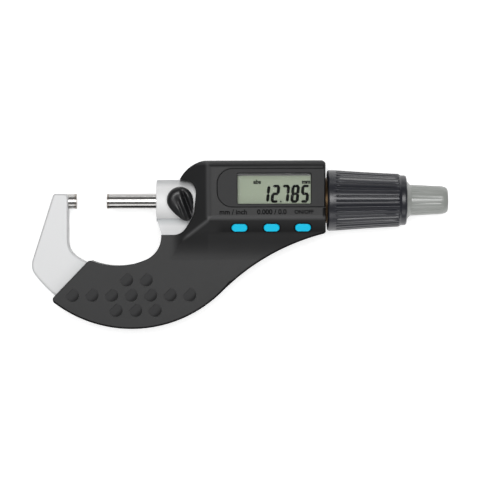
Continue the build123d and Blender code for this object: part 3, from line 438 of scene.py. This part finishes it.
def glossy_plastic(name, tone):
    """Smooth moulded plastic with a faint flow ripple and hairline scuffs."""
    finish = Finish(name, Specular_IOR_Level=0.5)
    ripple = finish.noise(finish.place(), scale=240.0)
    streaked = finish.place(scale=(1.0, 9.0, 1.0), turn=(0, 0, 0.7))
    scuffs = finish.noise(streaked, scale=1400.0, detail=4.0)
    finish.feed("Base Color", finish.blend(ripple, tone, lighter(tone, 1.3)))
    finish.feed("Roughness", 0.30 + 0.10 * scuffs)
    finish.feed("Coat Weight", 0.02 + 0.04 * ripple)
    finish.feed("Normal", finish.bump(ripple, strength=0.12, depth=0.00003))
    return finish.material


def display_glass():
    finish = Finish("window_glass", Base_Color=(0.10, 0.11, 0.10), Specular_IOR_Level=0.5, IOR=1.45)
    haze = finish.noise(finish.place(), scale=700.0, detail=3.0)
    finish.feed("Roughness", 0.05 + 0.05 * haze)
    finish.feed("Alpha", 0.02 + 0.015 * haze)
    return finish.material


# Display cell: a painted shadow of its window at the left edge, and a dark mask along the upper edge
# that fades out as painted shadow of the window. Each course is 1 / its scale long.
LCD_LEFT = 0.0682
LCD_UPPER = 0.01135
LCD_TONES = ((0.318, 0.380, 0.265), (0.348, 0.412, 0.292))
SHADOW_SCALE = 60.0
SHADOW_COURSE = ((0.0, 1.0), (0.03, 0.6), (0.08, 0.0))
SHADOW_SHARE = 0.5
SHADOW_TONE = (0.12, 0.13, 0.10)
MASK_AND_SHADOW_SCALE = 90.0
MASK_AND_SHADOW_COURSE = ((0.072, 1.0), (0.12, 0.2), (0.25, 0.0))
MASK_AND_SHADOW_TONE = (0.04, 0.04, 0.04)


def liquid_crystal():
    """Grey-green reflective cell, with painted shadow along its left and upper edges."""
    finish = Finish("lcd_panel", Specular_IOR_Level=0.3)
    x, y, _ = finish.axes()
    shadow = finish.ramp((x - LCD_LEFT) * SHADOW_SCALE, *SHADOW_COURSE)
    mask = finish.ramp((LCD_UPPER - y) * MASK_AND_SHADOW_SCALE, *MASK_AND_SHADOW_COURSE)
    grain = finish.noise(finish.place(), scale=6000.0)
    lit = finish.blend(SHADOW_SHARE * shadow, finish.blend(grain, *LCD_TONES), SHADOW_TONE)
    finish.feed("Base Color", finish.blend(mask, lit, MASK_AND_SHADOW_TONE))
    finish.feed("Roughness", 0.30 + 0.1 * grain)
    return finish.material


def etched_board(name, tone, copper):
    """Solder resist over copper tracks."""
    finish = Finish(name, Roughness=0.4)
    tracks = finish.node(
        "ShaderNodeTexBrick", {"offset": 0.5},
        {"Vector": finish.place(scale=(1.0, 1.0, 0.0)), "Color1": (0, 0, 0, 1), "Color2": (0, 0, 0, 1),
         "Mortar": (1, 1, 1, 1), "Scale": 240.0, "Mortar Size": 0.02},
    )
    finish.feed("Base Color", finish.blend(tracks, tone, copper))
    finish.feed("Normal", finish.bump(tracks, strength=0.3, depth=0.00003))
    return finish.material


def ink(name, tone):
    finish = Finish(name, Roughness=0.6, Specular_IOR_Level=0.0)
    spread = finish.noise(finish.place(), scale=5000.0)
    finish.feed("Base Color", finish.blend(spread, tone, lighter(tone, 1.25)))
    return finish.material


# Finish of each material slot: how it is made, its tones and its roughness, and for some moulded
# plastics their pits per metre, how deep these are, and the specular level
CHARCOAL = ((0.0072, 0.0073, 0.0078), (0.0092, 0.0093, 0.0099))
RECIPES = {
    "ground_steel": (turned, (0.56, 0.55, 0.54), (0.46, 0.45, 0.44), 0.19),
    "carbide": (turned, (0.42, 0.39, 0.36), (0.31, 0.29, 0.27), 0.24),
    "bronze": (turned, (0.52, 0.36, 0.20), (0.42, 0.29, 0.16), 0.35),
    # The brass has a dark tone, a painted shade for the narrow gap between housing and thimble where it
    # sits
    "brass": (turned, (0.105, 0.068, 0.036), (0.075, 0.048, 0.025), 0.45),
    "bright_steel": (turned, (0.62, 0.62, 0.64), (0.50, 0.50, 0.52), 0.30),
    "aluminium": (turned, (0.76, 0.76, 0.78), (0.66, 0.66, 0.68), 0.30),
    "dark_steel": (pressed, (0.10, 0.10, 0.11), (0.16, 0.16, 0.17), 0.40),
    "spring_steel": (pressed, (0.60, 0.60, 0.62), (0.48, 0.48, 0.50), 0.26),
    "dome_steel": (pressed, (0.66, 0.66, 0.67), (0.56, 0.56, 0.58), 0.22),
    "battery_steel": (pressed, (0.70, 0.70, 0.71), (0.60, 0.60, 0.62), 0.28),
    "black_rubber": (rubbery, (0.02, 0.02, 0.02)),
    "strip_rubber": (rubbery, (0.20, 0.20, 0.22)),
    "lever_black": (glossy_plastic, (0.006, 0.006, 0.007)),
    "thimble_black": (moulded, (0.0075, 0.0085, 0.0145), (0.0105, 0.0115, 0.0195), 0.32,
                      PITS, POLISHED_DEPTH, 0.72),
    "clutch_plastic": (moulded, (0.60, 0.59, 0.55), (0.68, 0.67, 0.62), 0.5),
    "knob_grey": (moulded, (0.325, 0.340, 0.320), (0.355, 0.370, 0.350), 0.30,
                  PITS, POLISHED_DEPTH, 1.0),
    "knob_cap_grey": (moulded, (0.235, 0.240, 0.232), (0.265, 0.27, 0.262), 0.42),
    # The third tone of each housing is the tone of its painted highlights
    "cover_charcoal": (housing, *CHARCOAL, (0.090, 0.090, 0.092)),
    "cover_charcoal_rear": (housing, *CHARCOAL, (0.03, 0.03, 0.03)),
    "cap_plastic": (moulded, (0.011, 0.0112, 0.0125), (0.015, 0.0152, 0.017), 0.55),
    "bezel_charcoal": (moulded, (0.006, 0.0062, 0.007), (0.008, 0.0082, 0.0092), 0.46,
                       4200.0, 0.000008, 0.28),
    "button_blue": (moulded, (0.0, 0.61, 0.96), (0.0, 0.69, 1.0), 0.4, 3000.0, 0.00001),
    "board_green": (etched_board, (0.02, 0.12, 0.05), (0.05, 0.22, 0.09)),
    "encoder_board": (etched_board, (0.03, 0.14, 0.07), (0.45, 0.30, 0.14)),
}
FINISHES = {slot: make(slot, *numbers) for slot, (make, *numbers) in RECIPES.items()}
FINISHES["frame_lacquer"] = lacquered()
FINISHES["window_glass"] = display_glass()
FINISHES["lcd_panel"] = liquid_crystal()

for entry in frame["record"]["subparts"]:
    held = frame["nodes"][entry["node"]].data.materials
    held.clear()
    held.append(FINISHES[entry["material_slot"]])


# New pieces

def linked(name, data):
    made = bpy.data.objects.new(name, data)
    bpy.context.scene.collection.objects.link(made)
    return made


def formed(name, shape, material):
    """An object out of a finished shape."""
    mesh = bpy.data.meshes.new(name)
    shape.to_mesh(mesh)
    shape.free()
    mesh.materials.append(material)
    return linked(name, mesh)


def piece(name, shape, material, body):
    """A finished shape that rides on a body."""
    made = formed(name, shape, material)
    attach(made, body)
    return made


def smoothed(shape):
    """Turns the faces outwards and shades them as one curved surface."""
    bmesh.ops.recalc_face_normals(shape, faces=shape.faces[:])
    for face in shape.faces:
        face.smooth = True


def rise(value, start, end):
    """Runs smoothly from 0 to 1 between two places."""
    share = min(max((value - start) / (end - start), 0.0), 1.0)
    return share * share * (3 - 2 * share)


def hump(value, middle, width):
    """Falls from 1 at the middle towards 0 on both sides."""
    return exp(-(((value - middle) / width) ** 2))


# Lock lever, seen from above: an egg of a round lobe, a smaller round tail and curved flanks. Places
# are along it from the lobe's middle, and across it. ALONG is its direction on the instrument, and
# MIDDLE_ALONG the point that its outline is measured from.
LOBE = (0.0440, 0.0003)
LOBE_R = 0.0055
TAIL_R = 0.0023
TAIL_ALONG = 0.007177
FLANK_R = 0.020
FLANK_ALONG = -0.00359
FLANK_ACROSS = 0.01405
FLANK_START = 0.00136
FLANK_END = 0.00858
ALONG = (0.3762, -0.9265)
MIDDLE_ALONG = 0.0016
OUTLINE_FAR = 0.02
HALVINGS = 40
# Its heights, the radius of its rolled edge, and where its underside turns up to that edge. It is made
# of a sphere, whose corners above UPPER_HALF become the dome.
LEVER_BOTTOM = 0.00995
LEVER_EDGE = 0.0111
LEVER_TOP = 0.0133
LEVER_EDGE_R = 0.0031
UNDERSIDE_END = 0.985
LEVER_SEGMENTS = 144
LEVER_RINGS = 72
UPPER_HALF = 0.0001
# Its top falls towards the tail at this rate, from this place on, in millimetres
FALL_START = -3.0
FALL = 0.13
# Rib and hollows on its top, in millimetres: height, where along it this begins and is full, and the
# middle and half width across
LEVER_RELIEF = (
    (0.75, -1.5, 3.5, 0.35, 0.75),
    (-1.5, -5.0, -0.5, 2.25, 0.8),
    (-0.30, -2.5, 0.5, -0.9, 0.9),
    (0.20, 1.0, 4.0, -2.2, 0.8),
)


def in_lever(along, across):
    """Whether a point is within the lever's outline."""
    if along < FLANK_START:
        return hypot(along, across) <= LOBE_R
    if along > FLANK_END:
        return hypot(along - TAIL_ALONG, across) <= TAIL_R
    return hypot(along - FLANK_ALONG, abs(across) + FLANK_ACROSS) <= FLANK_R


def lever_reach(angle):
    """Distance from the lever's middle to its outline."""
    near, far = 0.0, OUTLINE_FAR
    for _ in range(HALVINGS):
        half = (near + far) / 2
        if in_lever(MIDDLE_ALONG + half * cos(angle), half * sin(angle)):
            near = half
        else:
            far = half
    return near


def lever_crown(along, across):
    """Height of the lever's top."""
    behind = along - FALL_START * MM
    height = LEVER_TOP - FALL * (hypot(behind, MM) + behind) / 2
    for size, start, full, middle, width in LEVER_RELIEF:
        height += size * MM * rise(along, start * MM, full * MM) * hump(across, middle * MM, width * MM)
    return height


def lever():
    """Pulls a sphere into the lever: a dome over its outline, and a flat underside."""
    shape = bmesh.new()
    bmesh.ops.create_uvsphere(
        shape, u_segments=LEVER_SEGMENTS, v_segments=LEVER_RINGS, radius=1.0
    )
    reaches = {}
    for corner in shape.verts:
        share = min(hypot(corner.co.x, corner.co.y), 1.0)
        angle = round(atan2(corner.co.y, corner.co.x), 4)
        if angle not in reaches:
            reaches[angle] = lever_reach(angle)
        along = MIDDLE_ALONG + share * reaches[angle] * cos(angle)
        across = share * reaches[angle] * sin(angle)
        if corner.co.z > UPPER_HALF:
            inward = min((1 - share) * reaches[angle] / LEVER_EDGE_R, 1.0)
            crown = lever_crown(along, across) - LEVER_EDGE
            height = LEVER_EDGE + crown * sqrt(1 - (1 - inward) ** 2)
        else:
            height = LEVER_BOTTOM + (LEVER_EDGE - LEVER_BOTTOM) * rise(share, UNDERSIDE_END, 1.0)
        corner.co = (
            LOBE[0] + ALONG[0] * along - ALONG[1] * across,
            LOBE[1] + ALONG[1] * along + ALONG[0] * across,
            height,
        )
    smoothed(shape)
    return piece("domed_lever", shape, FINISHES["lever_black"], "lever_unit")


# Thimble and knob, in millimetres: profiles are along the spindle axis and out from it. The ribbed
# stretch of the thimble is a curve through three places.
RIB_START = (109.7, 12.85)
RIB_MIDDLE = (123.1, 11.93)
RIB_END = (136.5, 11.22)
RIB_STEPS = 12
RIB_RUN_OUT = 0.015
THIMBLE_BEFORE = (
    (107.1, 11.0), (106.2, 11.0), (106.2, 12.05), (106.27, 12.38), (106.45, 12.7), (106.76, 12.88),
    (107.1, 12.95), (108.4, 12.9),
)
THIMBLE_AFTER = (
    (136.9, 10.95), (137.3, 10.68), (137.5, 10.63), (137.7, 10.622), (138.8, 10.588), (139.0, 10.58),
    (139.5, 10.40), (139.7, 10.1), (139.7, 8.6), (138.0, 8.6), (138.0, 10.3), (107.1, 10.3),
)
KNOB_PROFILE = (
    (144.0, 4.0), (138.75, 4.0), (138.75, 8.15), (138.9, 8.3), (139.8, 8.3), (140.0, 8.25),
    (141.3, 6.7), (141.5, 6.55), (141.9, 6.53), (142.2, 6.52), (148.0, 6.25), (153.9, 5.97),
    (154.4, 5.95), (155.3, 5.86), (156.1, 5.65), (156.7, 5.35), (157.0, 5.15), (157.0, 4.95),
    (144.0, 4.95),
)
# Grooves: how many, how far the first land is turned in degrees, how deep in millimetres, the land's
# share of a rib, and the ends of the grooved stretch with the least radius that is outside
RIBS = {"count": 38, "turn": 3.0, "depth": 0.5, "land": 0.42, "stretch": (109.8, 136.4), "least": 11.1}
FLUTES = {"count": 16, "turn": -1.5, "depth": 0.22, "land": 0.55, "stretch": (142.0, 154.2), "least": 5.5}
STEPS_PER_RIB = 14
# Edges that bend more than this, in radians, stay sharp
SHARP_ANGLE = 0.6


def rib_line():
    """The thimble's curved outline along its ribs."""
    made = []
    ends = (0, RIB_RUN_OUT, *(step / RIB_STEPS for step in range(1, RIB_STEPS)), 1 - RIB_RUN_OUT, 1)
    for share in ends:
        along = RIB_START[0] + (RIB_END[0] - RIB_START[0]) * share
        bow = 4 * (RIB_MIDDLE[1] - (RIB_START[1] + RIB_END[1]) / 2) * share * (1 - share)
        made.append((along, RIB_START[1] + (RIB_END[1] - RIB_START[1]) * share + bow))
    return made


def sleeve(name, profile, slot, body, count, turn, depth, land, stretch, least):
    """Spins a closed profile round the axis and sinks grooves between flat lands in it."""
    shape = bmesh.new()
    corners = [shape.verts.new((along * MM, 0, out * MM)) for along, out in profile]
    for first, second in zip(corners, corners[1:] + corners[:1]):
        shape.edges.new((first, second))
    bmesh.ops.spin(
        shape, geom=shape.verts[:] + shape.edges[:], cent=(0, 0, 0), axis=(1, 0, 0),
        dvec=(0, 0, 0), angle=2 * pi, steps=count * STEPS_PER_RIB, use_merge=True,
    )
    start, end = stretch
    for corner in shape.verts:
        out = hypot(corner.co.y, corner.co.z)
        if not start * MM < corner.co.x < end * MM or out < least * MM:
            continue
        phase = (atan2(corner.co.y, corner.co.z) - turn * pi / 180) / (2 * pi) * count
        aside = abs(phase - round(phase)) * 2
        sunk = out - depth * MM * rise(aside, land, 1.0)
        corner.co.y *= sunk / out
        corner.co.z *= sunk / out
    smoothed(shape)
    made = piece(name, shape, FINISHES[slot], body)
    made.data.set_sharp_from_angle(angle=SHARP_ANGLE)
    return made


# Figures of seven bars: the middle of each bar in half widths and half heights, and whether it lies
# flat, and then the bars of each figure that the display shows
BAR_PLACES = {
    "a": (0, 1, True), "b": (1, 0.5, False), "c": (1, -0.5, False), "d": (0, -1, True),
    "e": (-1, -0.5, False), "f": (-1, 0.5, False), "g": (0, 0, True),
}
FIGURES = {"1": "bc", "2": "abged", "7": "abc", "8": "abcdefg", "5": "afgcd"}
READING = "12.785"
FIGURE_HEIGHT = 0.0065
FIGURE_WIDTH = 0.00225
FIGURE_STEP = 0.00415
UPRIGHT_BAR = 0.00130
FLAT_BAR = 0.00112
FIGURE_SLANT = 0.1
FIGURE_BASE = -0.00055
FIRST_RIGHT_BAR = 0.0808
# The point's size, and how many sizes it stands beyond the last right bar
POINT_SIZE = 0.0009
POINT_AFTER = 1.6
INK_THICKNESS = 0.00004
LCD_TOP = 0.0103


def thicken(shape, corners):
    """Raises a flat face by the thickness of the ink."""
    raised = bmesh.ops.extrude_face_region(shape, geom=[corners[0].link_faces[0]])
    top = [part for part in raised["geom"] if isinstance(part, bmesh.types.BMVert)]
    bmesh.ops.translate(shape, verts=top, vec=(0, 0, INK_THICKNESS))


def add_bar(shape, centre, length, width, flat):
    """One bar of a figure: a flat prism of six sides, pointed at both ends."""
    corners = bmesh.ops.create_circle(shape, cap_ends=True, segments=6, radius=1.0)["verts"]
    for corner in corners:
        end = 1 if corner.co.y > 0 else -1
        side = 1 if corner.co.x > 0 else -1
        pointed = abs(corner.co.y) > 0.9
        corner.co.x = end * (length / 2 if pointed else length / 2 - width / 2)
        corner.co.y = 0.0 if pointed else side * width / 2
    if not flat:
        bmesh.ops.rotate(shape, verts=corners, matrix=Matrix.Rotation(pi / 2, 3, "Z"))
    bmesh.ops.translate(shape, verts=corners, vec=centre)
    for corner in corners:
        corner.co.x += (corner.co.y - FIGURE_BASE) * FIGURE_SLANT
    thicken(shape, corners)


def add_point(shape, centre):
    """The decimal point, a small square."""
    corners = bmesh.ops.create_circle(shape, cap_ends=True, segments=4, radius=POINT_SIZE / 2)["verts"]
    bmesh.ops.rotate(shape, verts=corners, matrix=Matrix.Rotation(pi / 4, 3, "Z"))
    bmesh.ops.translate(shape, verts=corners, vec=centre)
    thicken(shape, corners)


def reading(material):
    """The display's figures: dark bars on the cell."""
    shape = bmesh.new()
    right = FIRST_RIGHT_BAR
    for letter in READING:
        if letter == ".":
            add_point(shape, (right - FIGURE_STEP + POINT_SIZE * POINT_AFTER, FIGURE_BASE, 0))
            continue
        for bar in FIGURES[letter]:
            across, up, flat = BAR_PLACES[bar]
            centre = (
                right + (across - 1) * FIGURE_WIDTH / 2,
                FIGURE_BASE + (1 + up) * FIGURE_HEIGHT / 2,
                0,
            )
            if flat:
                add_bar(shape, centre, FIGURE_WIDTH + FLAT_BAR / 2, FLAT_BAR, True)
            else:
                add_bar(shape, centre, FIGURE_HEIGHT / 2 + FLAT_BAR / 4, UPRIGHT_BAR, False)
        right += FIGURE_STEP
    bmesh.ops.translate(shape, verts=shape.verts[:], vec=(0, 0, LCD_TOP))
    bmesh.ops.recalc_face_normals(shape, faces=shape.faces[:])
    piece("lcd_figures", shape, material, "body")


# Lettering: name, words, middle along the instrument, size, and how much bolder than the plain letters
MARKS = (
    ("lcd_unit", "mm", 0.0971, 0.0023, 0.00014),
    ("lcd_mark", "abs", 0.0765, 0.0024, 0.00011),
)
LEGENDS = (
    ("legend_left", "mm / inch", 0.0664, 0.0029, 0.00007),
    ("legend_middle", "0.000 / 0.0", 0.0826, 0.0029, 0.00007),
    ("legend_right", "ON/OFF", 0.0961, 0.0022, 0.00007),
)
MARK_Y = 0.0077
LEGEND_Y = -0.0050
FACE_Z = 0.0123
LCD_INK_TONE = (0.0015, 0.0018, 0.0015)
LEGEND_INK_TONE = (0.0035, 0.0035, 0.004)
# Corners of the letters that are nearer than this are one corner
MERGE = 1e-7


def printed(name, words, size, bolder, place, material):
    """Small generic lettering, printed on a face."""
    curve = bpy.data.curves.new(name + "_outline", "FONT")
    curve.body = words
    curve.size = size
    curve.align_x = "CENTER"
    curve.align_y = "CENTER"
    curve.extrude = INK_THICKNESS / 2
    curve.offset = bolder
    outline = linked(name + "_outline", curve)
    seen = outline.evaluated_get(bpy.context.evaluated_depsgraph_get())
    mesh = bpy.data.meshes.new_from_object(seen)
    bpy.data.objects.remove(outline)
    shape = bmesh.new()
    shape.from_mesh(mesh)
    bpy.data.meshes.remove(mesh)
    bmesh.ops.remove_doubles(shape, verts=shape.verts[:], dist=MERGE)
    bmesh.ops.translate(shape, verts=shape.verts[:], vec=place)
    piece(name, shape, material, "body")


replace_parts(lever(), "lock_lever")
thimble_profile = [*THIMBLE_BEFORE, *rib_line(), *THIMBLE_AFTER]
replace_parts(sleeve("ribbed_thimble", thimble_profile, "thimble_black", "thimble_unit", **RIBS), "thimble")
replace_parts(sleeve("fluted_knob", KNOB_PROFILE, "knob_grey", "knob_unit", **FLUTES), "ratchet_knob")
lcd_ink = ink("lcd_ink", LCD_INK_TONE)
legend_ink = ink("legend_ink", LEGEND_INK_TONE)
reading(lcd_ink)
for name, words, middle, size, bolder in MARKS:
    printed(name, words, size, bolder, (middle, MARK_Y, LCD_TOP), lcd_ink)
for name, words, middle, size, bolder in LEGENDS:
    printed(name, words, size, bolder, (middle, LEGEND_Y, FACE_Z), legend_ink)


# Floor, light and camera

FLOOR_SIZE = 3.0
# The instrument's underside, and how far below it the floor lies
UNDERSIDE_Z = -0.0134
FLOOR_GAP = 0.00002
FLOOR_GLOW = (0.62, 0.62, 0.62)
WORLD_LIGHT = 0.20
# Lamps: name, place, size and power. All shine on one place.
LAMP_TARGET = (0.06, -0.01, 0.0)
LAMPS = (
    ("lamp_overhead", (0.06, 0.13, 1.15), (0.8, 0.5), 7.8),
    ("lamp_low", (0.06, -1.12, 0.65), (1.4, 0.4), 3.1),
    ("lamp_high", (0.06, 1.25, 0.38), (1.4, 0.25), 1.7),
)
# The view from straight above: its middle, height, turn in radians, and width, from a pixel's size
VIEW_CENTRE = (0.06919, -0.01667)
VIEW_HEIGHT = 1.0
VIEW_TURN = -0.0034
FRAME_PIXELS = 480
PIXEL = 0.000425
VIEW_WIDTH = FRAME_PIXELS * PIXEL
SENSOR_WIDTH = 36.0


def pale_floor():
    """Takes the object's shadow. Seen or mirrored, it is white where no shadow falls."""
    finish = Finish("floor_paper", Roughness=0.9, Specular_IOR_Level=0.0, Emission_Strength=1.0)
    grain = finish.noise(finish.place(), scale=400.0)
    finish.feed("Base Color", finish.blend(grain, (0.80, 0.80, 0.80), (0.82, 0.82, 0.82)))
    looked_at, mirrored, through = finish.node(
        "ShaderNodeLightPath", output=("Is Camera Ray", "Is Glossy Ray", "Is Transmission Ray")
    )
    seen = finish.maths("MINIMUM", looked_at + mirrored + through, 1.0)
    finish.feed("Emission Color", finish.blend(seen, (0.0, 0.0, 0.0), FLOOR_GLOW))
    return finish.material


def soft_lamp(name, place, size, power):
    lamp = bpy.data.lights.new(name, "AREA")
    lamp.shape = "RECTANGLE"
    lamp.size, lamp.size_y = size
    lamp.energy = power
    held = linked(name, lamp)
    held.location = place
    held.rotation_euler = (Vector(LAMP_TARGET) - Vector(place)).to_track_quat("-Z", "Y").to_euler()


ground = bmesh.new()
bmesh.ops.create_grid(ground, x_segments=1, y_segments=1, size=FLOOR_SIZE)
bmesh.ops.translate(ground, verts=ground.verts[:], vec=(0, 0, UNDERSIDE_Z - FLOOR_GAP))
floor = formed("floor", ground, pale_floor())

for lamp in LAMPS:
    soft_lamp(*lamp)

world = bpy.data.worlds.new("studio")
bpy.context.scene.world = world
world.use_nodes = True
sky = world.node_tree.nodes["Background"]
sky.inputs["Color"].default_value = (1, 1, 1, 1)
sky.inputs["Strength"].default_value = WORLD_LIGHT

lens = bpy.data.cameras.new("camera")
lens.sensor_width = SENSOR_WIDTH
lens.lens = SENSOR_WIDTH * VIEW_HEIGHT / VIEW_WIDTH
camera = linked("camera", lens)
camera.location = (*VIEW_CENTRE, VIEW_HEIGHT)
camera.rotation_euler = (0, 0, VIEW_TURN)
bpy.context.scene.camera = camera
bpy.context.scene.view_settings.view_transform = "Standard"
